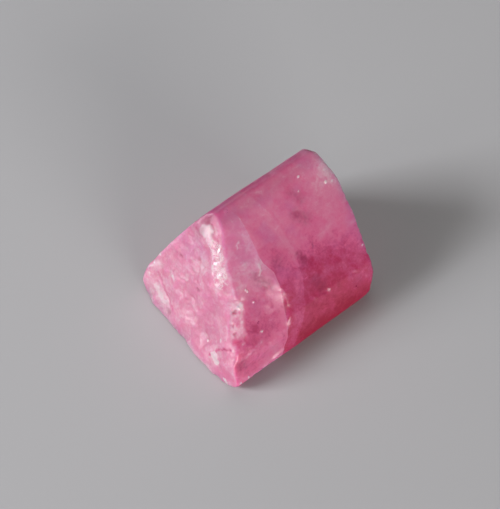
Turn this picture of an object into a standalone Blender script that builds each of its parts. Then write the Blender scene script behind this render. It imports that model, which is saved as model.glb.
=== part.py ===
"""A rubellite (pink tourmaline) crystal: a stout three-sided prism, broken across at both ends.

The crystal lies on one of its three sides. X runs along the crystal's own long axis, from the rough
break at -X to the cleaner break at +X, and +Z is up. The origin is on the table, below the middle of
the crystal's box.

Everything is first measured from one corner, the crystal's lower front corner at the rough break,
with y away from the front. The whole is moved over its origin at the end.
"""

import math

import bmesh
import bpy
from mathutils import Matrix, Vector, noise

MM = 0.001

# ---- Driving dimensions, in millimetres --------------------------------------------------------
LENGTH = 18.9            # along the crystal's axis, from the foot of one break to the other
SPARE = 6.0              # how far the uncut prism runs past each break

# The cross-section, as (y, z): three bowed sides, each made of the narrow flats that the crystal
# grew, and rounded where they meet.
FRONT_FOOT = [(1.2, 0.0), (0.15, 0.3), (-0.25, 0.95)]
FRONT_SIDE = [(0.1, 2.6), (1.0, 4.45)]
BROAD_FACE = [(2.85, 6.35), (5.3, 8.65), (7.8, 10.85), (9.7, 12.3)]
CREST = [(10.95, 12.9), (11.5, 12.6)]
BACK_SIDE = [(12.7, 10.4), (14.0, 7.4), (15.1, 5.0), (15.7, 3.2)]
BACK_FOOT = [(15.9, 0.8), (15.2, 0.0)]
SECTION = FRONT_FOOT + FRONT_SIDE + BROAD_FACE + CREST + BACK_SIDE + BACK_FOOT
MIDDLE = (8.3, 5.4)      # the middle of the section, which both breaks are measured from

# The rough break at -X leans back over the crystal, and its far side is further along +X.
ROUGH_FOOT = 0.40                    # how far along +X it starts
ROUGH_LEAN = 0.42                    # mm along +X for each mm up
ROUGH_YAW = 0.030                    # mm along +X for each mm away from the front
# Relief of a break: its height, and how many lumps there are in 1 mm.
ROUGH_RELIEF = [(0.30, 0.30), (0.15, 0.85)]
CLEAN_RELIEF = [(0.14, 0.35)]
# Broad swells of a break: where from its middle (to the side and up), how wide and how high.
ROUGH_SWELLS = [((7.6, -2.4), 2.7, 0.80), ((-7.0, -5.2), 1.9, -0.20)]
CLEAN_SWELLS = [((-0.5, 5.2), 2.6, 0.15), ((-8.4, -3.0), 2.5, 0.45)]

# The cleaner break at +X leans out a little at the top, and is domed.
CLEAN_LEAN = 0.09
CLEAN_DOME = 1.5                     # how far its middle stands proud of its rim
CLEAN_REACH = 8.5                    # from its middle to its rim
BREAK_CELL = 0.7                     # size of the cells that a break's relief is made from

# Flats struck off the crystal: the middle of each, the way that it faces, the way that its length
# runs, and its length and width.
FLATS = {
    "ridge_flat": ((5.42, 6.42, 9.62), (-0.68, -0.25, 0.68), (0.24, 0.77, 0.60), 13.0, 4.0),
    "ledge": ((3.62, 3.17, 6.02), (-0.25, -0.60, 0.76), (0.53, 0.60, 0.60), 4.3, 1.8),
    "tip_flat": ((19.25, 11.3, 12.7), (0.72, 0.42, 0.55), (-0.5, 0.86, 0.0), 4.0, 3.0),
}
FLAT_THICK = 3.0

# Shell-shaped hollows where flakes came away: the middle of each, the way that it faces, the way
# that its length runs, and its half width, half length and depth.
BROAD_OUT = (0.0, -0.67, 0.74)
BROAD_UP = (0.0, 0.74, 0.67)
HOLLOWS = {
    "upper_scar": ((5.4, 7.6, 10.70), BROAD_OUT, BROAD_UP, 3.9, 3.6, 0.26),
    "lower_scar": ((6.1, 2.85, 6.30), (0.0, -0.74, 0.67), (0.05, 0.7, 0.7), 3.1, 4.5, 0.34),
    "front_scar": ((4.7, -0.15, 2.1), (0.0, -0.98, 0.15), (1.0, 0.0, 0.12), 0.95, 3.1, 0.5),
    "corner_scar": ((0.75, 3.4, 2.2), (-0.9, 0.0, 0.4), (0.4, 0.0, 0.9), 1.0, 1.3, 0.5),
    "back_lip": ((2.8, 14.0, 4.9), (-0.92, 0.1, 0.4), (0.1, 0.8, -0.6), 0.75, 2.6, 0.35),
    "lip_chip_1": ((1.5, -0.1, 0.3), (0.0, -0.8, -0.6), (1.0, 0.0, 0.0), 0.35, 0.6, 0.2),
    "lip_chip_2": ((3.1, -0.1, 0.3), (0.0, -0.8, -0.6), (1.0, 0.0, 0.0), 0.45, 0.8, 0.25),
    "lip_chip_3": ((5.4, -0.1, 0.3), (0.0, -0.8, -0.6), (1.0, 0.0, 0.0), 0.35, 0.7, 0.18),
    "crest_chip": ((15.4, 11.5, 12.7), (0.0, 0.6, 0.8), (1.0, 0.0, 0.0), 0.5, 1.4, 0.22),
    "back_rim_chip": ((20.1, 13.9, 7.6), (0.8, 0.55, 0.2), (0.0, -0.4, 0.9), 0.9, 1.7, 0.45),
    "back_foot_chip": ((16.2, 15.8, 0.8), (0.3, 0.9, -0.2), (1.0, 0.0, 0.0), 0.9, 1.6, 0.4),
    "front_rim_chip": ((18.9, 0.1, 1.2), (0.7, -0.7, 0.0), (0.0, 0.2, 1.0), 0.5, 1.0, 0.25),
}


# ---- Small helpers -----------------------------------------------------------------------------
def new_object(name, bm, collection, anchor, place):
    """An object from a bmesh, with its faces pointing out, at a place measured from the anchor."""
    bmesh.ops.recalc_face_normals(bm, faces=bm.faces)
    mesh = bpy.data.meshes.new(name)
    bm.to_mesh(mesh)
    bm.free()
    obj = bpy.data.objects.new(name, mesh)
    collection.objects.link(obj)
    obj.parent = anchor
    obj.matrix_local = place
    return obj


def frame(origin, normal, along):
    """A matrix at origin whose local Z is normal and whose local Y lies as near along as it can."""
    z = Vector(normal).normalized()
    along = Vector(along)
    y = (along - z * z.dot(along)).normalized()
    matrix = Matrix((y.cross(z), y, z)).transposed().to_4x4()
    matrix.translation = Vector(origin) * MM
    return matrix


def relief(lumps, swells, u, v):
    """Height of a break's relief, in mm, at a point of its plane."""
    height = 0.0
    for layer, (size, often) in enumerate(lumps):
        height += 2 * size * noise.noise(Vector((u * often, v * often, 3.7 + layer)))
    for (u_middle, v_middle), reach, size in swells:
        away = math.hypot(u - u_middle, v - v_middle)
        height += size * math.exp(-((away / reach) ** 2))
    return height


# ---- The crystal and what has broken off it ----------------------------------------------------
def prism(collection, anchor):
    """The unbroken crystal: its cross-section, drawn out along X."""
    outline = bpy.data.curves.new("section", "CURVE")
    outline.dimensions = "2D"
    outline.fill_mode = "BOTH"
    outline.extrude = (LENGTH / 2 + SPARE) * MM
    corners = outline.splines.new("POLY")
    corners.points.add(len(SECTION) - 1)
    corners.use_cyclic_u = True
    for point, (y, z) in zip(corners.points, SECTION):
        point.co = (y * MM, z * MM, 0, 1)
    drawn = bpy.data.objects.new("section", outline)
    collection.objects.link(drawn)
    solid = bpy.data.meshes.new_from_object(drawn.evaluated_get(bpy.context.evaluated_depsgraph_get()))
    bpy.data.objects.remove(drawn)

    bm = bmesh.new()
    bm.from_mesh(solid)
    bmesh.ops.remove_doubles(bm, verts=bm.verts, dist=0.001 * MM)
    across = frame((LENGTH / 2, 0, 0), (1, 0, 0), (0, 0, 1))
    return new_object("rubellite_crystal", bm, collection, anchor, across)


def rough_height(u, v):
    """The rough break's relief; u runs towards the front and v up, from its middle."""
    return relief(ROUGH_RELIEF, ROUGH_SWELLS, u, v)


def clean_height(u, v):
    """The cleaner break's relief, a low dome; u runs towards the back and v up."""
    dome = CLEAN_DOME * (1 - (math.hypot(u, v) / CLEAN_REACH) ** 2)
    return dome + relief(CLEAN_RELIEF, CLEAN_SWELLS, u, v)


def break_slab(name, height, place, collection, anchor):
    """A closed block whose lower side has the relief of a break, and takes away all it covers."""
    width, thick = 27.0, 16.0
    cells = round(width / BREAK_CELL)
    bm = bmesh.new()
    bmesh.ops.create_grid(bm, x_segments=cells, y_segments=cells, size=0.5)
    for vert in bm.verts:
        u, v = vert.co.x * width, vert.co.y * width
        vert.co = (u * MM, v * MM, height(u, v) * MM)
    backed = bmesh.ops.extrude_face_region(bm, geom=bm.faces[:])["geom"]
    for vert in backed:
        if isinstance(vert, bmesh.types.BMVert):
            vert.co.z = thick * MM
    return new_object(name, bm, collection, anchor, place)


def flat_cutter(name, middle, facing, along, length, width, collection, anchor):
    """A block that leaves a flat of the given length and width."""
    bm = bmesh.new()
    bmesh.ops.create_cube(bm, size=1)
    bmesh.ops.scale(bm, verts=bm.verts, vec=(width * MM, length * MM, FLAT_THICK * MM))
    bmesh.ops.translate(bm, verts=bm.verts, vec=(0, 0, FLAT_THICK / 2 * MM))
    return new_object(name, bm, collection, anchor, frame(middle, facing, along))


def hollow_cutter(name, middle, facing, along, half_width, half_length, depth, collection, anchor):
    """A squashed ball, half sunk, which leaves a shallow hollow with a curved rim."""
    bm = bmesh.new()
    bmesh.ops.create_icosphere(bm, subdivisions=3, radius=1)
    bmesh.ops.scale(bm, verts=bm.verts, vec=(half_width * MM, half_length * MM, depth * MM))
    return new_object(name, bm, collection, anchor, frame(middle, facing, along))


def cut(body, cutter):
    """Takes the cutter away from the body."""
    modifier = body.modifiers.new(cutter.name, "BOOLEAN")
    modifier.operation = "DIFFERENCE"
    modifier.solver = "EXACT"
    modifier.object = cutter
    cutter.hide_render = True
    cutter.display_type = "WIRE"


def colour(crystal):
    """Rubellite's pink, with a glassy surface."""
    pink = bpy.data.materials.new("rubellite")
    pink.use_nodes = True
    shader = pink.node_tree.nodes["Principled BSDF"]
    shader.inputs["Base Color"].default_value = (0.62, 0.12, 0.27, 1)
    shader.inputs["Roughness"].default_value = 0.25
    shader.inputs["Metallic"].default_value = 0.0
    crystal.data.materials.append(pink)


def centre_over_origin(crystal, anchor):
    """Moves everything so that the middle of the crystal's box is over the origin, on the table."""
    bpy.context.view_layer.update()
    solid = crystal.evaluated_get(bpy.context.evaluated_depsgraph_get())
    corners = [crystal.matrix_world @ Vector(corner) for corner in solid.bound_box]
    low = Vector(map(min, *corners))
    high = Vector(map(max, *corners))
    anchor.location = (-(low.x + high.x) / 2, -(low.y + high.y) / 2, -low.z)


def build():
    for obj in list(bpy.data.objects):
        bpy.data.objects.remove(obj)
    part = bpy.data.collections.new("rubellite")
    cutters = bpy.data.collections.new("cutters")
    anchor = bpy.data.objects.new("anchor", None)
    bpy.context.scene.collection.children.link(part)
    bpy.context.scene.collection.children.link(cutters)
    part.objects.link(anchor)

    crystal = prism(part, anchor)
    y, z = MIDDLE
    rough_x = ROUGH_FOOT + ROUGH_YAW * y + ROUGH_LEAN * z
    rough = frame((rough_x, y, z), (-1, ROUGH_YAW, ROUGH_LEAN), (0, 0, 1))
    cut(crystal, break_slab("rough_break", rough_height, rough, cutters, anchor))
    clean = frame((LENGTH, y, z), (1, 0, -CLEAN_LEAN), (0, 0, 1))
    cut(crystal, break_slab("clean_break", clean_height, clean, cutters, anchor))
    for name, flat in FLATS.items():
        cut(crystal, flat_cutter(name, *flat, cutters, anchor))
    for name, hollow in HOLLOWS.items():
        cut(crystal, hollow_cutter(name, *hollow, cutters, anchor))

    colour(crystal)
    centre_over_origin(crystal, anchor)


build()
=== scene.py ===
# %% [markdown]
# # A rubellite crystal, lit like a stone on a table
#
# Rubellite is pink tourmaline. This stone is one stout, three-sided crystal that broke across at
# both ends. The packed model gives its form and its size. This lesson gives it a skin with the small
# relief of a broken stone, a cloudy pink that lets light in, and a soft window to shine in it.
#
# Nothing here moves or resizes the packed solid. The skin is a new mesh that stands in its place.

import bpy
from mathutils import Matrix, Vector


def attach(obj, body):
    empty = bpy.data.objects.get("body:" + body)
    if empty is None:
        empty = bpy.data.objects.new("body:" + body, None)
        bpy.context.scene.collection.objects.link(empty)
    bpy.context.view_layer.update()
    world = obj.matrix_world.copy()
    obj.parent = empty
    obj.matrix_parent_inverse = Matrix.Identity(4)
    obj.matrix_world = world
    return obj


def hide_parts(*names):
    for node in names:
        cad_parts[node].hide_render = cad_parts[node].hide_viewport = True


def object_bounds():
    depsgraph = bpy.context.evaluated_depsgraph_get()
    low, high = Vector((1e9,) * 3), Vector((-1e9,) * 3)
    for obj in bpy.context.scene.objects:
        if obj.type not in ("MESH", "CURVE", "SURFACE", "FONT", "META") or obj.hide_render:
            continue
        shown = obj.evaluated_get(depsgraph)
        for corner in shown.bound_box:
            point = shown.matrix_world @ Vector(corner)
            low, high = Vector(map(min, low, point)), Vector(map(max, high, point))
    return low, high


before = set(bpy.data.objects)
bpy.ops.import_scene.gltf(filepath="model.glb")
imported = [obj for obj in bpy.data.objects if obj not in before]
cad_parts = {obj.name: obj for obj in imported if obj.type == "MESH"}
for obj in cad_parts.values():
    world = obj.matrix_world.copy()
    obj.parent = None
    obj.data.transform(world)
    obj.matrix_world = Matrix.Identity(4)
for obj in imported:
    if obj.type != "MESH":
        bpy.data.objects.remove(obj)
cad_low, cad_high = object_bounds()

# %% [markdown]
# ## One corner to measure from
#
# Every place on the stone is given in millimetres from one corner: the low front corner at the rough
# break. x runs along the crystal, y away from the front, and z up. That is how a maker would measure
# the stone with a ruler, and the numbers stay easy to read.

# %% Modules, and the stone's own corner
import math

import bmesh
import bpy
import numpy as np
from mathutils import Matrix, Vector, kdtree, noise

MM = 0.001
CORNER_IN_BOX = Vector((-0.127, 0.25, 0.0))    # the corner, from the low corner of the solid's box
CORNER = cad_low / MM + CORNER_IN_BOX
print("box in mm", [round(side, 2) for side in (cad_high - cad_low) / MM])

# %% [markdown]
# ## An even skin
#
# Cutting a solid with Booleans leaves long thin triangles, which can't hold fine relief. A voxel
# remesh gives an even net of small faces instead, and a Shrinkwrap pulls that net back onto the
# solid, so that the edges that the voxels rounded are where they were. The stone is 20 mm long, so
# the work is done with one unit to the millimetre: the numbers then read as a ruler does.

# %% Two copies of the solid, in millimetres
def in_millimetres(name, source):
    """A copy of an object's mesh, measured in millimetres from the stone's corner."""
    copy = bpy.data.objects.new(name, source.data.copy())
    copy.data.transform(Matrix.Translation(-CORNER) @ Matrix.Scale(1 / MM, 4))
    bpy.context.scene.collection.objects.link(copy)
    return copy


solid = in_millimetres("solid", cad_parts["rubellite_crystal"])
skin = in_millimetres("crystal_skin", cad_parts["rubellite_crystal"])
print("solid", len(solid.data.polygons), "faces")

# %% Remesh one copy and wrap it round the other
NET = 0.124                                    # the side of one small face, in mm
even = skin.modifiers.new("even net", "REMESH")
even.mode = "VOXEL"
even.voxel_size = NET
wrap = skin.modifiers.new("back onto the solid", "SHRINKWRAP")
wrap.target = solid
skin_mesh = bpy.data.meshes.new_from_object(skin.evaluated_get(bpy.context.evaluated_depsgraph_get()))
skin_mesh.name = "crystal_skin"
skin.modifiers.clear()
skin.data = skin_mesh
print("skin", len(skin_mesh.vertices), "points", len(skin_mesh.polygons), "faces")

# %% [markdown]
# ## Two small tools for the whole skin
#
# The skin has tens of thousands of points, so they are worked on all at once, as one table of
# numbers. `spread` blurs any value over the skin, by taking the mean over each point's neighbours.
# `ease` turns a distance into a soft mask, which is how every mark below gets its outline.

# %% Read the points, and which are joined
points = np.array([v.co for v in skin_mesh.vertices])
joined = np.array([e.vertices[:] for e in skin_mesh.edges])
ends = np.concatenate([joined[:, 0], joined[:, 1]])
others = np.concatenate([joined[:, 1], joined[:, 0]])
valence = np.bincount(ends, minlength=len(points))
print("each point has", valence.min(), "to", valence.max(), "neighbours")


# %% Blur over the skin, and ease from one value to another
def spread(values, times=1):
    """Each point's value becomes the mean of its neighbours' values, a number of times."""
    values = np.array(values, float)
    columns = values.reshape(len(points), -1)
    for _ in range(times):
        sums = [np.bincount(ends, columns[others, i], len(points)) for i in range(columns.shape[1])]
        columns = np.stack(sums, -1) / valence[:, None]
    return columns.reshape(values.shape)


def ease(low, high, values):
    """0 up to low, 1 from high on, and smooth between. It runs down where low is above high."""
    t = np.clip((values - low) / (high - low), 0, 1)
    return t * t * (3 - 2 * t)


print("half way, ease gives", ease(0, 1, np.array(0.5)))

# %% [markdown]
# ## Which edges are sharp
#
# The packed solid has the crystal's bowed sides as narrow flats that meet at a few degrees, and on
# the real stone those joints can't be seen. Its broken edges are crisp. So the distance from every
# point to the nearest crisp edge is measured first: far from one, the skin is smoothed, and near one
# it is kept. Beads strung along the crisp edges make that a search for the nearest bead.

# %% Distance to the nearest crisp edge
CRISP = math.radians(17)                       # faces that meet at more than this make a crisp edge
SAME_PLACE = 0.004
BEAD_GAP = 0.1
form = bmesh.new()
form.from_mesh(solid.data)
bmesh.ops.remove_doubles(form, verts=form.verts, dist=SAME_PLACE)
beads = []
for edge in form.edges:
    if len(edge.link_faces) == 2 and edge.calc_face_angle(0) > CRISP:
        start, end = (v.co for v in edge.verts)
        count = int((end - start).length / BEAD_GAP) + 1
        beads += [start.lerp(end, i / count) for i in range(count + 1)]
form.free()
tree = kdtree.KDTree(len(beads))
for i, bead in enumerate(beads):
    tree.insert(bead, i)
tree.balance()
from_edge = np.array([tree.find(p)[2] for p in points])
print("beads along crisp edges", len(beads))

# %% [markdown]
# ## Smooth what lies between them
#
# To smooth a skin, each point moves some way towards the mean of its neighbours, again and again.
# Blender has a modifier for that, but here every point needs its own share: much on the bowed sides,
# hardly any at a crisp edge, and some more where years of handling have rounded the stone's foot.

# %% Relax the skin, each point by its own share
HALF_WAY = 0.5


def relax(share, times):
    """Moves each point towards the mean of its neighbours, by its own share, a number of times."""
    for _ in range(times):
        points[:] += share[:, None] * HALF_WAY * (spread(points) - points)
    print("relaxed", int((share > 0.5).sum()), "points", times, "times")


def within(place, core, radius):
    """1 within core of a place, and down to 0 at radius, in mm."""
    return ease(radius, core, np.linalg.norm(points - np.array(place), axis=1))


EDGE_SHARE = 0.06                              # what a crisp edge still gives way
CRISP_WITHIN = 0.15                            # this near to an edge, in mm, the skin keeps it
SMOOTH_BEYOND = 0.9
relax(EDGE_SHARE + (1 - EDGE_SHARE) * ease(CRISP_WITHIN, SMOOTH_BEYOND, from_edge), 160)

# %% Round the foot, and two scars
FAR_SCAR = (18.2, 15.6, 0.7)                   # a chip at the back foot
LEDGE_STEP = (2.6, 2.0, 4.9)                   # where the ledge ends above the near foot
foot = ease(1.3, 0.4, points[:, 2])
relax(foot, 14)
front_foot = foot * ease(2.0, 1.0, points[:, 1])
relax(front_foot, 40)
far_scar = within(FAR_SCAR, 1.2, 3.2)
relax(far_scar, 90)
ledge_step = within(LEDGE_STEP, 0.6, 1.5)
relax(ledge_step, 30)

# %% Let the foot of the rough end stand out a little
FOOT_BELLY = (0.8, 8.0, 0.4)
BELLY_OUT = 0.38
belly = within(FOOT_BELLY, 1.0, 4.2) * ease(3.0, 1.5, points[:, 0])
points[:, 0] -= BELLY_OUT * belly
print("the foot stands out", BELLY_OUT, "mm over", int((belly > 0.5).sum()), "points")


# %% The way that the skin faces
def normals_of(points):
    """The way that the skin faces at each point."""
    skin_mesh.vertices.foreach_set("co", points.astype(np.float32).ravel())
    skin_mesh.update()
    normals = np.empty(len(points) * 3, np.float32)
    skin_mesh.vertices.foreach_get("normal", normals)
    return normals.reshape(-1, 3).astype(float)


def averaged(directions, times):
    """Directions blurred over the skin, at their full length again."""
    blurred = spread(directions, times)
    return blurred / np.linalg.norm(blurred, axis=1)[:, None]


facing = normals_of(points)
broad_facing = averaged(facing, 12)
near_facing = averaged(facing, 2)
print("points that face up", int((facing[:, 2] > 0.5).sum()))

# %% [markdown]
# ## Broken, grown and worn
#
# A break across tourmaline has shallow shell-shaped hollows with sharp little ridges between them.
# The grown sides are smooth, with very faint furrows along the crystal. The far end broke more
# cleanly than the near one. A mask for each is read from the way that the skin faces.

# %% Masks of the skin
ROUGH_OUT = np.array((-0.92, 0.03, 0.39))      # the way that the rough break faces
x, y, z = points.T
broken = ease(0.45, 0.80, broad_facing @ ROUGH_OUT) * ease(13, 11, x)
far_break = ease(0.55, 0.85, broad_facing[:, 0])
grown = np.clip(1 - broken - far_break, 0, 1)
print("share of the skin that is broken", round(float(broken.mean()), 3))

# %% [markdown]
# ## Relief from formulas of place
#
# Two random fields are enough for a stone. `lumps` is smooth noise, drawn out along the crystal where
# the growth was. `shells` gives shallow bowls that meet in sharp ridges, as a break does: each bowl is
# the square of the distance to its centre, and it is tipped its own way so that no two look alike.
# The tips come from a random field that Blender starts from the clock, so it is given a seed first:
# without one, each run would break the stone in another way.

# %% Smooth lumps
FULL_SWING = 1.6                               # brings Blender's noise up to -1 to 1


def lumps(size, stretch=(1, 1, 1), seed=0.0):
    """Smooth lumps about size mm apart, from -1 to 1, drawn out by stretch."""
    places = points / np.array(stretch) / size + seed
    return np.array([noise.noise(Vector(p)) for p in places]) * FULL_SWING


patchy = 0.5 + 0.5 * lumps(0.25, seed=37.0)    # thins a mark out in patches
print("patchy runs from", round(float(patchy.min()), 2), "to", round(float(patchy.max()), 2))


# %% Shallow shells
SHELL_SEED = 2
TIP_FIELD = 7.3                                # spreads the centres, so that neighbours tip differently
noise.seed_set(SHELL_SEED)


def shells(size, seed=0.0, tilt=0.0):
    """Shallow bowls about size mm wide that meet in sharp ridges, each tipped its own way by tilt."""
    heights = []
    for place in map(Vector, points / size + seed):
        distances, centres = noise.voronoi(place)
        tip = noise.noise_vector(centres[0] * TIP_FIELD)
        heights.append(distances[0] ** 2 + tilt * (place - centres[0]).dot(tip))
    return np.array(heights)


big_shells = 0.26 * spread(shells(2.3, 3.0, 0.35), 2)
small_shells = 0.08 * spread(shells(0.95, 7.0, 0.6)) + 0.02 * shells(0.42, 9.0, 0.6)
print("deepest shell", round(float((big_shells + small_shells).max()), 2), "mm")

# %% Relief of the breaks
FAR_DEEPER = 1.5                               # the solid's far end is a plain dome, so it gets more
MEAN_SHELL = 0.2                               # taken off, so that the shells don't swell the stone
LOW_SWELL = 0.24                               # the rough break is fullest low down, at LOW_SWELL_AT
LOW_SWELL_AT = (0.6, 4.6, 0.7)
swell = 0.10 * lumps(1.9, seed=12.0)
grit = 0.03 * lumps(0.42, seed=5.0) + 0.015 * lumps(0.22, seed=6.0)
calm_at_edge = 0.35 + 0.65 * ease(0.0, 1.1, from_edge)
broken_relief = (big_shells + small_shells - MEAN_SHELL + swell) * calm_at_edge + grit
height = (broken + FAR_DEEPER * far_break) * broken_relief
height += LOW_SWELL * within(LOW_SWELL_AT, 1.4, 3.4) * broken
print("relief of the breaks", round(float(height.min()), 2), "to", round(float(height.max()), 2), "mm")

# %% Relief of the grown sides
faint_furrows = 0.004 * lumps(0.5, (14, 1, 1), seed=2.0)
slow_waves = 0.06 * lumps(2.8, (2, 1, 1), seed=9.0) + 0.006 * lumps(0.9, seed=4.0)
height += grown * (faint_furrows + slow_waves)
print("waves of the sides", round(float(np.abs(slow_waves).max()), 3), "mm")

# %% [markdown]
# ## Nicks, and the first crack
#
# Edges of a stone that has been handled have nicks in them, most of all towards its ends. And a
# curved crack runs through this one near the rough end: the skin between the crack and the break has
# lifted a little, so it has shells of its own. The crack is part of a big sphere round a centre in
# the air off the rough end, and the finish further on uses the same centre.

# %% Nicks along the crisp edges
NICK = 0.08                                    # how deep, in mm
near_ends = 0.3 + 0.7 * ease(12.0, 14.0, x) + 0.7 * ease(6.0, 5.0, x)
here_and_there = ease(0.1, 0.8, lumps(0.7, seed=17.0))
height -= NICK * ease(0.35, 0.0, from_edge) * here_and_there * near_ends.clip(0, 1)
print("points on an edge", int((from_edge < 0.35).sum()))

# %% The lifted skin inside the first crack
CRACK_CENTRE = (-9.5, 6.0, 9.2)
CRACK_RADIUS = 18.9
past_crack = np.linalg.norm(points - np.array(CRACK_CENTRE), axis=1) - CRACK_RADIUS
lifted = ease(-0.1, -1.0, past_crack) * grown
height += lifted * (0.035 * shells(1.2, 15.0, 0.5) + 0.02 * shells(0.5, 16.0, 0.6) - 0.015)
print("share of the skin that has lifted", round(float(lifted.mean()), 3))

# %% [markdown]
# ## Marks with a place of their own
#
# Some marks are single ones: a crease across the broken end, a little shell near its foot whose floor
# gets a painted highlight, pits along the ledge, pale or dark specks, and painted glints. Each is a line
# or a spot on the skin. Its mask comes from the distance to that line, and the places are shaken a
# little first, so that no mark has a clean outline. The same mask then serves for the relief and for the
# colour.

# %% Lines and spots with a ragged outline
RAG = 0.11                                     # how far an outline strays, in mm
ragged = points + RAG * np.stack([lumps(0.33, seed=31.0 + i) for i in range(3)], -1)


def along(path, width, core=0.0):
    """1 within core of a line through some places, and down to 0 at width. One place makes a spot."""
    nearest = np.full(len(points), 1e9)
    path = np.array(path, float)
    for start, end in zip(path, path[1:] if len(path) > 1 else path):
        run = end - start
        share = np.clip((ragged - start) @ run / max(run @ run, 1e-9), 0, 1)
        nearest = np.minimum(nearest, np.linalg.norm(ragged - start - share[:, None] * run, axis=1))
    return ease(width, core, nearest)


print("outlines stray by up to", RAG, "mm")

# %% Creases, rims and lips of the rough end
crease = along([(2.68, 12.09, 4.73), (3.03, 10.42, 5.39), (3.29, 8.98, 6.41), (3.46, 7.28, 7.82)], 0.6)
crease_glint = along([(2.72, 12.2, 4.8), (2.65, 11.7, 4.6)], 0.22)
shell_rim = along([(0.96, 4.08, 1.82), (1.39, 3.65, 2.65), (1.33, 2.47, 4.13), (1.57, 1.84, 4.47)], 0.2, 0.05)
shell_floor = along([(1.02, 3.68, 1.69), (0.8, 2.34, 1.51)], 0.6)
lip_line = along([(2.49, 14.24, 3.21), (2.12, 13.09, 2.88), (1.59, 11.66, 2.14), (1.3, 10.66, 1.94)], 0.3)
lip = along([(1.66, 14.38, 1.5), (1.54, 11.93, 1.3)], 1.6, 0.6)
lip_streak = along([(1.75, 13.9, 1.9), (1.5, 12.2, 1.45)], 0.42, 0.15)
height += 0.14 * crease * patchy - 0.05 * shell_rim - 0.10 * shell_floor - 0.08 * lip_line
print("points in the crease", int((crease > 0.5).sum()))

# %% Painted glints, a painted glow and worn places at the foot and the edges
# the glint at the foot, the ridge above it and the foot edge carry painted highlights, and the front foot
# gets a painted glow
foot_glint = along([(1.15, 3.75, 1.95), (0.95, 3.15, 1.65)], 0.38, 0.26)
foot_edge = along([(0.6, 0.6, 0.6), (2.4, 0.0, 0.9), (4.5, 0.0, 0.8)], 0.7, 0.1) * patchy
foot_ridge_and_glints = along([(1.2, 0.93, 3.95), (2.58, 0.61, 3.65), (3.73, 0.76, 3.96), (4.79, 0.96, 3.91)], 0.35)
foot_ridge_and_glints *= patchy
painted_glow_near_foot = ease(4.5, 2.5, z) * ease(2.0, 0.8, y) * ease(7.2, 6.2, x) * (1 - broken)
at_the_ends = ease(6.0, 4.5, x) + 0.6 * ease(17.0, 18.0, x)
worn = ease(0.4, 0.05, from_edge) * (0.4 + 0.6 * patchy) * at_the_ends * ease(4.0, 6.0, z)
height += 0.08 * foot_ridge_and_glints
print("points on worn edges", int((worn > 0.5).sum()))

# %% The ledge above the near foot
LEDGE_OUT = np.array((-0.25, -0.60, 0.76))     # the way that the ledge faces
LEDGE_AT = np.array((3.62, 3.17, 6.02))
in_its_plane = ease(0.30, 0.12, np.abs((points - LEDGE_AT) @ LEDGE_OUT))
on_ledge = in_its_plane * ease(0.975, 0.99, near_facing @ LEDGE_OUT) * along([LEDGE_AT], 2.9, 2.2)
ledge_rim_and_glints = along([(3.33, 1.66, 4.73), (2.6, 1.4, 4.6), (1.68, 1.5, 4.59)], 0.3) * patchy
height += 0.06 * ledge_rim_and_glints
print("points on the ledge", int((on_ledge > 0.5).sum()))

# %% Pits
PITS = [                                       # place and radius
    ((3.04, 8.69, 5.93), 0.35), ((3.8, 3.89, 6.65), 0.42), ((2.85, 2.6, 5.3), 0.3),
    ((3.1, 3.2, 5.9), 0.24), ((1.1, 11.11, 1.06), 0.7), ((3.99, 12.33, 6.92), 0.35)]
PIT_DEPTH = 0.18
pit = sum(along([place], radius) for place, radius in PITS)
height -= PIT_DEPTH * pit
print("pits", len(PITS))

# %% Pale specks with painted sparkle, and painted glints: a sickle at the first crack, and a chevron
SPECKS = [
    (16.76, 9.37, 12.05), (15.99, 8.45, 11.35), (19.69, 7.7, 10.76), (18.92, 7.88, 10.91), (19.2, 2.33, 5.82),
    (6.07, 3.56, 6.59), (5.93, 4.45, 7.63), (5.88, 4.6, 7.8), (5.36, 1.64, 4.53),
    (1.77, 5.22, 2.21), (1.8, 3.5, 4.05), (0.46, 1.17, 0.5), (4.37, 3.96, 6.89), (1.28, -0.17, 1.32),
    (2.33, -0.14, 1.3), (1.94, 15.21, 2.65), (2.72, 15.31, 3.77), (3.2, 14.8, 5.1)]
SPECK = 0.16                                   # the radius of one, in mm
SPECK_HEIGHT = 0.09
STREAK_HEIGHT = 0.05
# the specks are partly pale flecks and partly painted sparkle; the sickle, chevron and tip are painted glints
speck = sum(along([place], SPECK, SPECK / 2) for place in SPECKS)
sickle_glint = along([(8.35, 5.5, 8.8), (8.2, 5.1, 8.45), (7.95, 4.95, 8.3)], 0.2)
chevron_glint = along([(7.8, 7.95, 10.75), (7.5, 7.8, 10.6), (7.25, 7.6, 10.4)], 0.16)
tip_glint = along([(0.6, 1.6, 0.7), (0.4, 1.0, 0.3)], 0.22, 0.1)
height += SPECK_HEIGHT * speck + STREAK_HEIGHT * sickle_glint + STREAK_HEIGHT * chevron_glint
print("specks", len(SPECKS))

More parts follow.
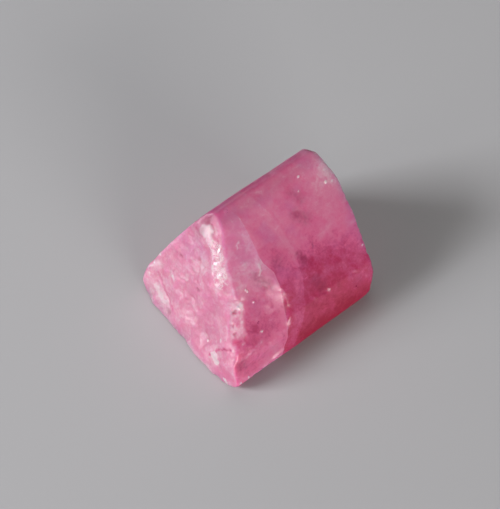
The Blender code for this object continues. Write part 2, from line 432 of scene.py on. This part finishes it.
# %% Dark inclusions under the skin
INCLUSIONS = [                                 # how dark, the line or spot, and its width
    (0.8, [(12.83, 4.07, 7.5), (12.56, 4.53, 7.93)], 0.6),
    (0.5, [(12.9, 3.7, 7.1)], 1.1),
    (0.7, [(12.85, 2.22, 5.7), (13.22, 1.56, 5.03)], 1.2),
    (0.9, [(14.55, 4.65, 8.05), (14.3, 4.3, 7.75)], 0.22),
    (0.6, [(15.1, 6.47, 9.68), (14.41, 7.05, 10.19)], 1.1),
    (0.4, [(15.1, 8.79, 11.6), (15.68, 7.77, 10.82)], 0.8),
    (0.6, [(7.37, 4.96, 8.3), (8.13, 4.02, 7.25)], 0.9),
    (0.6, [(10.27, 4.89, 8.27)], 1.2),
    (0.5, [(17.12, 0.44, 3.31)], 1.1),
    (0.9, [(1.9, 0.5, 3.1)], 1.3)]
dark = sum(depth * along(path, width) for depth, path, width in INCLUSIONS) * (0.5 + patchy)
# the pits' share is painted shade in the holes; the inclusions' share is their own colour
shade = np.clip(0.9 * dark + 0.6 * pit, 0, 1)
print("inclusions", len(INCLUSIONS))

# %% [markdown]
# ## Fresh glassy flats
#
# High on the rough end a fresh flat shines like glass, and below it the break is crackled: many tiny
# flats, each at its own tilt, that catch the light one by one. The relief of the old break is taken
# away there first, and fine lumps are put in its place. Both also get painted highlights further on:
# the flat is painted paler, and the crackle gets a bright lace.

# %% The glassy flat, with its painted highlight, and the crackled patch below it
glassy_flat_and_highlight = along([(5.95, 10.55, 11.35)], 0.85, 0.6)
glassy_flat_and_highlight = np.maximum(glassy_flat_and_highlight, 0.75 * along([(5.6, 9.75, 10.75), (5.9, 10.3, 11.2)], 0.7, 0.3))
crackle = along([(5.55, 8.9, 10.6), (4.9, 7.6, 9.35), (4.35, 6.5, 8.5)], 0.9, 0.45)
height *= 1 - 0.95 * np.maximum(glassy_flat_and_highlight, 0.7 * crackle)
height += crackle * (0.03 * lumps(0.35, seed=21.0) + 0.02 * lumps(0.18, seed=23.0))
fresh = np.clip(0.8 * glassy_flat_and_highlight + 0.45 * crackle + 0.5 * shell_floor + foot_glint + speck, 0, 1)
print("share of the skin that is fresh and glassy", round(float(fresh.mean()), 4))

# %% [markdown]
# ## How pale each mark is, with painted highlights and glow
#
# Where a stone is bruised or freshly chipped, light scatters at once and the place looks paler. Deep
# rims look richer. Many of the marks are painted light instead: the glints, the sparkle of the specks,
# the glassy flat, the lit ledge and a glow at the front foot are painted paler. All of that is added up
# in one value, `mark`, which the finish adds to its milk.

# %% Add up what the marks and the painted highlights do to the colour
tip = within((0.5, 1.6, 1.0), 0.8, 2.2)        # the low tip keeps a deeper pink
# painted highlights: the specks' sparkle in part, the sickle, the chevron, the tip glint and the glints on
# the ledge rim
mark = 0.75 * speck + 0.28 * sickle_glint + 0.3 * chevron_glint + 0.6 * tip_glint + 0.5 * ledge_rim_and_glints
# painted highlights on the foot ridge and the crease glint
mark += 0.4 * foot_ridge_and_glints + 0.6 * crease_glint + 0.1 * lip + 0.3 * lip_streak
# painted light: the ledge is paler for the light that the flat catches
mark += (0.18 + 0.2 * patchy) * spread(on_ledge, 2)
# painted light: a glow near the front foot; painted highlights on the shell floor, the foot glint, the pale
# foot edge and the glassy flat
mark += 0.12 * painted_glow_near_foot + 0.05 * shell_floor + foot_glint + 0.18 * foot_edge + 0.28 * glassy_flat_and_highlight
mark += 0.16 * worn * (1 - broken) - 0.4 * shell_rim - 0.25 * lip_line - 0.12 * tip
print("mark runs from", round(float(mark.min()), 2), "to", round(float(mark.max()), 2))

# %% [markdown]
# ## Move the skin, and hand its masks on
#
# The relief is one height for each point, along the way that the skin faces there. It dies out
# towards the table, so that the stone still rests on its flat. The masks go with the mesh as
# attributes, which a material can read by name.

# %% Push the skin out and in
height *= ease(0.0, 0.5, z)
in_scar = within(FAR_SCAR, 1.4, 2.2)[:, None]  # its faces are tiny, so they all move one way
outward = facing + in_scar * (broad_facing - facing)
points += outward * height[:, None]
points[:, 2] = points[:, 2].clip(0)
normals_of(points)                             # this also writes the points into the mesh
bpy.data.objects.remove(solid)
print("relief from", round(float(height.min()), 2), "to", round(float(height.max()), 2), "mm")

# %% Put the skin back in the frame, with its masks
pale_ends = np.clip(broken + 0.5 * ease(0.84, 0.94, broad_facing[:, 0]), 0, 1)
MASKS = {"broken": pale_ends, "fresh": fresh, "mark": mark, "crackle": crackle, "shade": shade, "worn": worn}
for name, values in MASKS.items():
    skin_mesh.attributes.new(name, "FLOAT", "POINT").data.foreach_set("value", values.astype(np.float32))
skin_mesh.transform(Matrix.Scale(MM, 4) @ Matrix.Translation(CORNER))
skin_mesh.shade_smooth()
print("masks", list(MASKS))

# %% [markdown]
# ## Shader maths as plain formulas
#
# A shader is a net of small sums. Wrapped in a class that knows +, - and *, a socket can be used in
# a formula as a number is, and each sum adds its own Math node. Every other node comes from one
# method, `node`, which sets its choices first and then fills or links its sockets.

# %% A socket that can be used in a formula
class Wire:
    """The output of a node. Arithmetic on it adds Math nodes, and node() adds any other."""

    def __init__(self, socket):
        self.socket = socket
        self.tree = socket.id_data

    def node(self, kind, settings=None, inputs=None, output=0):
        """Adds a node: its settings first, then the values or links of its sockets."""
        made = self.tree.nodes.new(kind)
        for name, value in (settings or {}).items():
            if name == "stops":
                set_stops(made.color_ramp.elements, value)
            else:
                setattr(made, name, value)
        for key, value in (inputs or {}).items():
            if isinstance(value, Wire):
                self.tree.links.new(value.socket, made.inputs[key])
            else:
                made.inputs[key].default_value = value
        return Wire(made.outputs[output])

    def into(self, shader, name):
        """Links this wire to a socket of a shader."""
        self.tree.links.new(self.socket, shader.inputs[name])

    def maths(self, operation, *values):
        return self.node("ShaderNodeMath", {"operation": operation}, dict(enumerate(values)))

    def __add__(self, other):
        return self.maths("ADD", self, other)

    def __sub__(self, other):
        return self.maths("SUBTRACT", self, other)

    def __rsub__(self, other):
        return self.maths("SUBTRACT", other, self)

    def __mul__(self, other):
        return self.maths("MULTIPLY", self, other)

    __radd__ = __add__
    __rmul__ = __mul__

    def ease(self, low, high):
        """0 up to low, 1 from high on, and smooth between. It runs down where low is above high."""
        if low > high:
            return 1 - self.ease(high, low)
        settings = {"interpolation_type": "SMOOTHSTEP"}
        return self.node("ShaderNodeMapRange", settings, {"Value": self, "From Min": low, "From Max": high})


def set_stops(elements, stops):
    """Gives a colour ramp its stops, each a place from 0 to 1 and a colour."""
    while len(elements) < len(stops):
        elements.new(1.0)
    for element, (place, tone) in zip(elements, stops):
        element.position = place
        element.color = tone


print("a Wire knows", [name for name in vars(Wire) if not name.startswith("__")])


# %% Vectors and colours
def scaled(vector, factor):
    """A vector or a colour, times a number."""
    return vector.node("ShaderNodeVectorMath", {"operation": "SCALE"}, {0: vector, "Scale": factor})


def combined(operation, one, other, output=0):
    """Two vectors put together, such as by ADD, MULTIPLY or DISTANCE."""
    return one.node("ShaderNodeVectorMath", {"operation": operation}, {0: one, 1: other}, output)


def mixed(amount, low, high):
    """A colour from low to high, by amount."""
    return amount.node("ShaderNodeMix", {"data_type": "RGBA"}, {0: amount, 6: low, 7: high}, 2)


def colour(red, green, blue):
    """A colour as a screen shows it, 0 to 255, turned into the light that Blender reckons with."""
    shares = [value / 255 for value in (red, green, blue)]
    return (*[s / 12.92 if s <= 0.04045 else ((s + 0.055) / 1.055) ** 2.4 for s in shares], 1.0)


print("middle grey", [round(c, 3) for c in colour(128, 128, 128)])

# %% [markdown]
# ## Where a point lies inside the stone
#
# The colour of a stone isn't painted on it: it runs through it. So the finish is a formula of place
# in the stone, in the same millimetres as the relief, and a flaw goes on over an edge from one side
# to the next as it does in a real one. No picture and no unwrapping are needed.

# %% A material, its shader, and the place in millimetres
rubellite = bpy.data.materials.new("clouded rubellite")
rubellite.use_nodes = True
stone_shader = rubellite.node_tree.nodes["Principled BSDF"]
stone_output = rubellite.node_tree.nodes["Material Output"]
here = Wire(stone_shader.outputs["BSDF"]).node("ShaderNodeTexCoord", output="Object")
place = combined("SUBTRACT", scaled(here, 1 / MM), CORNER)
x_mm, y_mm, z_mm = (place.node("ShaderNodeSeparateXYZ", None, {0: place}, i) for i in range(3))
mask = {name: place.node("ShaderNodeAttribute", {"attribute_name": name}, None, "Fac") for name in MASKS}
print("masks in the material", list(mask))


# %% Clouds in the stone
def cloud(place, size, detail=3.0, seed=0.0, warp=0.0):
    """A soft random field around 0.5, with lumps about size mm apart."""
    inputs = {"Vector": place, "W": seed, "Scale": 1 / size, "Detail": detail, "Roughness": 0.55}
    inputs["Distortion"] = warp
    return place.node("ShaderNodeTexNoise", {"noise_dimensions": "4D"}, inputs)


wobble = cloud(place, 2.0, seed=1.0) - 0.5
print("clouds are 4D, so each seed gives another one")

# %% [markdown]
# ## How milky the stone is, and where light is painted into it
#
# Rubellite of this kind is clouded by tiny flaws. One value, `milk_and_painted_light`, says how many
# there are, with painted light and shade added in: 0 is deep, clear pink and 1 is nearly white. Its rise
# towards the crest is painted light, where more light comes out, and it rises at the far end. It is
# brought down by painted shade low on the foot behind the second crack, near the table, and behind the crest.

# %% Milk by length, and painted light and shade by height
upper = z_mm.ease(5.0, 10.5)
far_half = x_mm.ease(15.0, 18.5)
far_rim = x_mm.ease(18.3, 19.2)
painted_shade_at_low_foot = x_mm.ease(8.0, 9.5) * z_mm.ease(4.0, 1.5) * y_mm.ease(4.0, 2.0)
painted_shade_behind_crest = y_mm.ease(10.0, 10.8) * z_mm.ease(9.0, 11.0)
MILK_AT_FOOT = 0.12
PAINTED_LIGHT_PER_MM = 0.0275
PAINTED_LIGHT_HIGH_UP = 0.21
milk_and_painted_light = MILK_AT_FOOT + z_mm * PAINTED_LIGHT_PER_MM + upper * PAINTED_LIGHT_HIGH_UP + far_half * 0.12 + far_rim * 0.02
# painted shade: darker low on the foot near the table, and behind the crest
milk_and_painted_light = milk_and_painted_light - painted_shade_at_low_foot * 0.2 - painted_shade_behind_crest * 0.14
print("milk at the foot", MILK_AT_FOOT, "and at 12 mm", MILK_AT_FOOT + 12 * PAINTED_LIGHT_PER_MM + PAINTED_LIGHT_HIGH_UP)

# %% [markdown]
# ## Two curved cracks inside
#
# A crack that runs through a clear stone shows as a pale sheet with one crisp side: between the
# crack and the break the stone is milkier, and paler still with painted light that the crack throws back,
# and the crack itself gets a painted highlight, a thin bright line in places.
# Each is the shell of a sphere, so its distance is one Vector Math node. The first has a jog in it.

# %% Distance to each crack
JOG = 0.72                                     # how far the first crack steps back, in mm
FIRST_RADIUS = 19.05                           # the colour goes just past the skin that has lifted
SECOND_CENTRE = (-1.6, 6.0, 9.2)
SECOND_RADIUS = 14.0
jog = y_mm.ease(9.6, 5.8) * y_mm.ease(4.2, 5.6) * JOG
past_first = combined("DISTANCE", place, CRACK_CENTRE, "Value") - FIRST_RADIUS + jog + wobble * 0.4
past_second = combined("DISTANCE", place, SECOND_CENTRE, "Value") - SECOND_RADIUS + wobble * 0.6
FIRST_AT = round(FIRST_RADIUS + CRACK_CENTRE[0], 2)
SECOND_AT = round(SECOND_RADIUS + SECOND_CENTRE[0], 2)
print("cracks up to", FIRST_AT, "and", SECOND_AT, "mm from the rough end")

# %% Milk, painted light and a painted highlight at the cracks
inside_first = past_first.ease(0.05, -0.05)
near_first = past_first.ease(-2.6, 0.0) * inside_first
crack_line_highlight = past_first.ease(-0.12, -0.02) * past_first.ease(0.06, 0.0) * cloud(place, 1.4).ease(0.44, 0.58)
at_back = y_mm.ease(9.0, 12.0)
near_second = past_second.ease(-2.2, 0.0) * past_second.ease(0.08, -0.08)
# near and inside each crack the stone is paler, partly milky and partly painted light; the crack line is a
# painted highlight
milk_and_painted_light = milk_and_painted_light + near_first * 0.05 + inside_first * (0.24 - z_mm.ease(8.0, 11.5) * 0.16 - at_back * 0.1)
milk_and_painted_light = milk_and_painted_light + crack_line_highlight * 0.16 + near_second * 0.10
print("math nodes so far", sum(n.type == "MATH" for n in rubellite.node_tree.nodes))

# %% [markdown]
# ## The breaks, the crackle and the clouds
#
# A broken face is milkier than a grown one all over. In the crackled patch a painted highlight, a
# bright lace, is laid where the tiny flats meet: a Voronoi texture gives the distance to the nearest
# such line, and shaken places keep it from looking like a honeycomb. Wisps and clouds at three sizes
# finish the milk.

# %% Breaks and marks
grown_side = 1 - mask["broken"]
BREAK_MILK = 0.76
milk_and_painted_light = milk_and_painted_light * grown_side + mask["broken"] * BREAK_MILK + mask["mark"]
print("a break starts from a milk of", BREAK_MILK)

# %% A painted highlight lace in the crackled patch
swirl = place.node("ShaderNodeTexNoise", None, {"Vector": place, "Scale": 2.4, "Detail": 2.0}, "Color")
shaken = combined("ADD", place, scaled(swirl, 1.3))
LACE_CELL = 1 / 2.6                            # the width of one, in mm
cells = {"Vector": shaken, "Scale": 1 / LACE_CELL}
seams = place.node("ShaderNodeTexVoronoi", {"feature": "DISTANCE_TO_EDGE"}, cells)
lace_highlight = seams.ease(0.2, 0.03) * cloud(place, 0.45, detail=2, seed=19.0).ease(0.4, 0.56)
milk_and_painted_light = milk_and_painted_light + lace_highlight * mask["crackle"] * 0.5
print("lace cells", round(LACE_CELL, 2), "mm wide")

# %% Wisps and clouds
thread = combined("MULTIPLY", place, (0.55, 1.0, 1.0))
wisps = cloud(thread, 0.9, detail=5, seed=13.0, warp=1.5).ease(0.56, 0.72)
milk_and_painted_light = milk_and_painted_light + wisps * grown_side * 0.12
milk_and_painted_light = milk_and_painted_light + (cloud(place, 3.4, detail=4, seed=3.0, warp=0.6) - 0.5) * 0.5
milk_and_painted_light = milk_and_painted_light + (cloud(place, 0.9, detail=4, seed=7.0, warp=1.0) - 0.5) * 0.5
milk_and_painted_light = milk_and_painted_light + (cloud(place, 0.22, detail=3, seed=9.0) - 0.5) * 0.28
print("math nodes so far", sum(n.type == "MATH" for n in rubellite.node_tree.nodes))

# %% [markdown]
# ## From milk to pink
#
# A colour ramp turns the one value into a colour, from deep crimson through clear pink to nearly
# white. A few tints are mixed over it: lilac zones high up and plum in the inclusions. Painted shade
# goes over it too: plum in the pits, a darker tone on the breaks, and a duller tone at the crest and
# behind it.

# %% The ramp
PINKS = [(0.0, colour(176, 10, 66)), (0.25, colour(204, 56, 110)), (0.37, colour(214, 86, 138)),
         (0.5, colour(234, 114, 164)), (0.75, colour(238, 152, 186)), (1.0, colour(250, 218, 228))]
body = place.node("ShaderNodeValToRGB", {"stops": PINKS}, {0: milk_and_painted_light})
print("stops at", [stop for stop, tone in PINKS])

# %% Tints and painted shade over it
LILAC = colour(206, 118, 184)
PALE_LILAC = colour(228, 134, 196)
PLUM = colour(162, 36, 92)
CREST_SHADE = colour(140, 62, 98)
BEHIND_CREST_SHADE = colour(150, 76, 112)
lilac_zone = cloud(place, 2.6, detail=2, seed=15.0).ease(0.5, 0.66) * z_mm.ease(4.0, 8.0)
body = mixed(lilac_zone * 0.2, body, LILAC)
body = mixed(inside_first * grown_side * z_mm.ease(6.5, 10.0) * 0.3, body, PALE_LILAC)
# plum: the inclusions' own colour, and painted shade in the pits
body = mixed(mask["shade"] * 0.7, body, PLUM)
# painted shade on the breaks, which face the window
body = mixed(mask["broken"], body, scaled(body, 0.84))
# painted shade at the crest and behind it
body = mixed(z_mm.ease(11.7, 12.5) * 0.2, body, CREST_SHADE)
body = mixed(y_mm.ease(10.4, 11.0) * z_mm.ease(9.0, 11.5) * 0.45, body, BEHIND_CREST_SHADE)
body.into(stone_shader, "Base Color")
print("tints", len((LILAC, PALE_LILAC, PLUM, CREST_SHADE, BEHIND_CREST_SHADE)))

# %% [markdown]
# ## Gloss and grain
#
# Grown tourmaline has the gloss of glass that was handled for years. The breaks are duller, worn
# edges duller still, and the fresh flats have a sharp shine of their own: that is a coat, and its
# weight is a mask. A very fine bump breaks the highlights up as the real grain does.

# %% Roughness, coat and bump
roughness = 0.32 + mask["broken"] * 0.16 + mask["worn"] * 0.2 + (cloud(place, 0.8, seed=5.0) - 0.5) * 0.2
roughness.into(stone_shader, "Roughness")
mask["fresh"].into(stone_shader, "Coat Weight")
TOURMALINE_IOR = 1.63
stone_shader.inputs["Coat Roughness"].default_value = 0.15
stone_shader.inputs["Coat IOR"].default_value = TOURMALINE_IOR
GRAIN_DEPTH = 0.04 * MM
GRAIN_STRENGTH = 0.35
grain = cloud(place, 0.25, detail=4, seed=8.0) * (0.6 + mask["broken"])
bumps = {"Height": grain, "Strength": GRAIN_STRENGTH, "Distance": GRAIN_DEPTH}
bump = place.node("ShaderNodeBump", None, bumps)
bump.into(stone_shader, "Normal")
print("grain depth", GRAIN_DEPTH, "m")

# %% [markdown]
# ## Light that goes into the stone
#
# Some light goes straight through and is bent and tinted on its way: that is transmission, with
# tourmaline's own refraction and an absorption that takes out green first. Most of it is scattered
# by the flaws just under the skin, and subsurface light stands in for that: it reaches 2 mm for red,
# and less for green and blue. An exported model keeps the transmission and the absorption and leaves
# the subsurface light out, which is why those two are plain values.

# %% Transmission, absorption and scatter
SEE_THROUGH = 0.22
SCATTER_REACH = 2 * MM
stone_shader.inputs["IOR"].default_value = TOURMALINE_IOR
stone_shader.inputs["Transmission Weight"].default_value = SEE_THROUGH
stone_shader.inputs["Subsurface Weight"].default_value = 1.0
stone_shader.inputs["Subsurface Radius"].default_value = (1.0, 0.5, 0.7)
stone_shader.inputs["Subsurface Scale"].default_value = SCATTER_REACH
PINK_DEPTH = {"Color": (0.93, 0.10, 0.42, 1), "Density": 90.0}
depth = place.node("ShaderNodeVolumeAbsorption", None, PINK_DEPTH)
depth.into(stone_output, "Volume")
print("nodes in the finish", len(rubellite.node_tree.nodes))

# %% [markdown]
# ## The skin takes the solid's place
#
# The skin is hung on the one body that there is, so that it moves with it, and the packed solid that it
# stands in for is hidden. It wears the finish made above.

# %% Dress the skin and hand it to the frame
skin_mesh.materials.clear()
skin_mesh.materials.append(rubellite)
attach(skin, "root")
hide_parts("rubellite_crystal")
print(skin.name, "wears", skin_mesh.materials[0].name)

# %% [markdown]
# ## A pale table
#
# The stone rests on a plain pale grey top. Its far edge is out of the camera's sight, and would show
# only from a few degrees above the table. It is a stage, not a part of the object. It is rough, so
# that there is no mirror image under the stone.

# %% The table
TABLE_SIDE = 1.2
bpy.ops.mesh.primitive_plane_add(size=TABLE_SIDE)
table = bpy.context.object
table.name = "table"
paint = bpy.data.materials.new("pale paint")
paint.use_nodes = True
paint.node_tree.nodes["Principled BSDF"].inputs["Base Color"].default_value = colour(187, 187, 189)
paint.node_tree.nodes["Principled BSDF"].inputs["Roughness"].default_value = 0.7
table.data.materials.append(paint)
print("table", TABLE_SIDE, "m wide")

# %% [markdown]
# ## One window and a quiet room
#
# A soft window on the left, low enough to rake over the breaks, gives the stone its form and a long
# soft shadow to the right. A broad, low light from the front keeps the near side open. The light that
# comes from all round is kept dim, because for the same light on the near side it fills the dark line
# at the table about three times as much as the front light does. A small warm lamp adds to the shine of
# the fresh flats, and one overhead gives the far end some light of its own.

# %% A soft light, aimed at the stone
def soft_light(name, bearing, rise, away, size, power, tint):
    """A soft rectangle of light that shines at the stone from a bearing and a rise, in degrees."""
    lamp = bpy.data.lights.new(name, "AREA")
    lamp.shape = "RECTANGLE"
    lamp.size, lamp.size_y = size
    lamp.energy = power
    lamp.color = tint
    holder = bpy.data.objects.new(name, lamp)
    bpy.context.scene.collection.objects.link(holder)
    turn = math.radians(bearing)
    lift = math.radians(rise)
    level = Vector((math.cos(turn), math.sin(turn), 0)) * math.cos(lift)
    direction = level + Vector((0, 0, math.sin(lift)))
    holder.location = direction * away
    holder.rotation_euler = direction.to_track_quat("Z", "Y").to_euler()
    print(name, "from", bearing, "degrees,", rise, "up,", power, "W")


print("soft_light sets a lamp up and turns it to the stone")

# %% Four lights round the stone
COOL = (1.0, 1.0, 1.02)
WARM = (1.0, 0.97, 0.94)
LIGHTS = [                                     # name, bearing, rise, distance, width and height, watts, tint
    ("window", 152, 28, 0.80, (0.34, 0.26), 6.40, COOL),
    ("glint", 181, 27, 0.40, (0.12, 0.12), 0.10, WARM),
    ("room", -100, 12, 1.20, (0.8, 0.4), 11.0, WARM),
    ("ceiling", 60, 62, 0.50, (0.3, 0.3), 0.35, WARM)]
for light in LIGHTS:
    soft_light(*light)
print("lights", len(LIGHTS))

# %% The room's own dim light
ROOM_LIGHT = 0.06
world = bpy.data.worlds.new("room")
bpy.context.scene.world = world
world.use_nodes = True
world.node_tree.nodes["Background"].inputs["Color"].default_value = (0.97, 0.98, 1.0, 1)
world.node_tree.nodes["Background"].inputs["Strength"].default_value = ROOM_LIGHT
print("room light", ROOM_LIGHT)

# %% [markdown]
# ## The camera
#
# A long lens from above and to the left front shows the rough end, the ledge and the front side at
# once, with hardly any perspective, as suits so small a thing. The place is worked out from two
# angles and a distance round the point that the camera looks at, which is easier to adjust than a
# location and three rotations. The near limit is 1 cm, because the stone is so close.

# %% Look down on the stone from the left front
AZIMUTH = math.radians(-40)
ELEVATION = math.radians(55)
AWAY = 0.2
LENS = 141.45
AIM = (CORNER + Vector((9.87, 8.69, 5.76))) * MM
flat = Vector((math.sin(AZIMUTH), -math.cos(AZIMUTH), 0))
back = flat * math.cos(ELEVATION) + Vector((0, 0, math.sin(ELEVATION)))
camera = bpy.data.objects.new("camera", bpy.data.cameras.new("camera"))
bpy.context.scene.collection.objects.link(camera)
camera.data.lens = LENS
camera.data.clip_start = 0.01
camera.location = AIM + back * AWAY
camera.rotation_euler = back.to_track_quat("Z", "Y").to_euler()
bpy.context.scene.camera = camera
bpy.context.scene.view_settings.view_transform = "Standard"
print("camera at", [round(c, 3) for c in camera.location])

# %% [markdown]
# ## Sizes
#
# The dressed stone must stay as big as the packed one. The packed one's box is printed at the start of
# this lesson.
